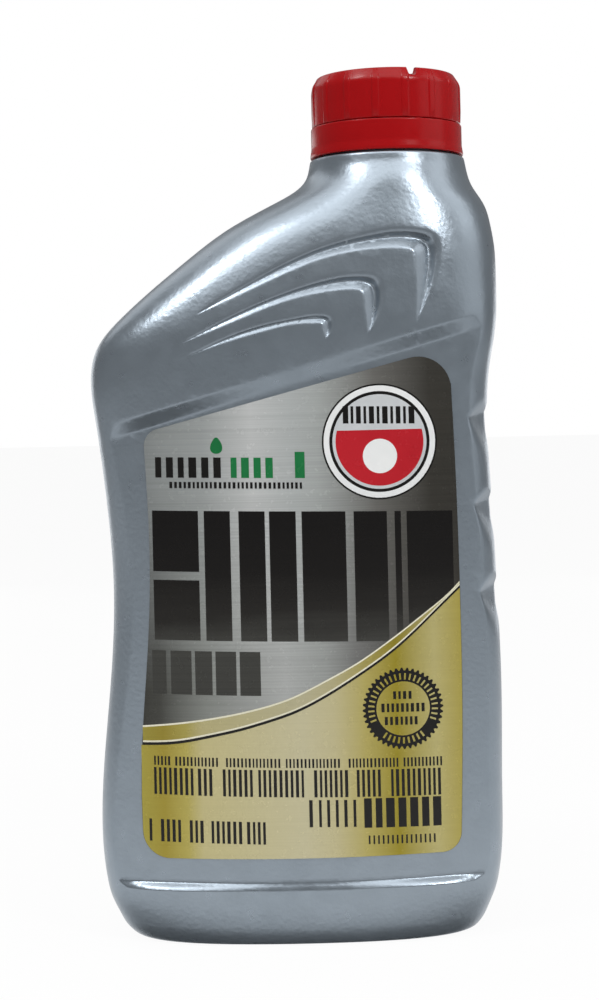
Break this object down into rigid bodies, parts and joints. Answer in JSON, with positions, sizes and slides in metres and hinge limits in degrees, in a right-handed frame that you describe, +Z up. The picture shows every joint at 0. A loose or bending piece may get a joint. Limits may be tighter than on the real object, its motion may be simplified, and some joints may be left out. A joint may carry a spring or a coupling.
{
  "type": "motor oil bottle",
  "caption": "Flat-sided plastic oil bottle with a screw cap set to one side, a slanted grooved shoulder, finger notches and a film label front and back.",
  "frame": {"origin": "middle of the body on the surface that the bottle stands on", "axes": "+Z up along the bottle, -Y out of the front label, +X towards the side that the neck is on"},
  "size_m": [0.1082, 0.06, 0.2259],
  "materials": {
    "body": "satin metallic",
    "cap": "gloss",
    "liner": "foam",
    "label": "printed film"
  },
  "bodies": {
    "bottle": {"bottle": "body", "tamper_band": "cap", "front_label": "label", "back_label": "label"},
    "liner": {"cap_liner": "liner"},
    "cap": {"cap": "cap"}
  },
  "joints": [
    {"name": "cap_lift", "type": "slide", "parent": "bottle", "child": "liner", "axis": [0, 0, 1], "range_m": [0, 0.00635]},
    {"name": "cap_turn", "type": "hinge", "parent": "liner", "child": "cap", "pos_m": [0.026, 0, 0.2127], "axis": [0, 0, 1], "range_deg": [0, 540]}
  ],
  "couplings": [
    {"joint": "cap_lift", "follows": "cap_turn", "m_per_rad": 0.00067322}
  ]
}
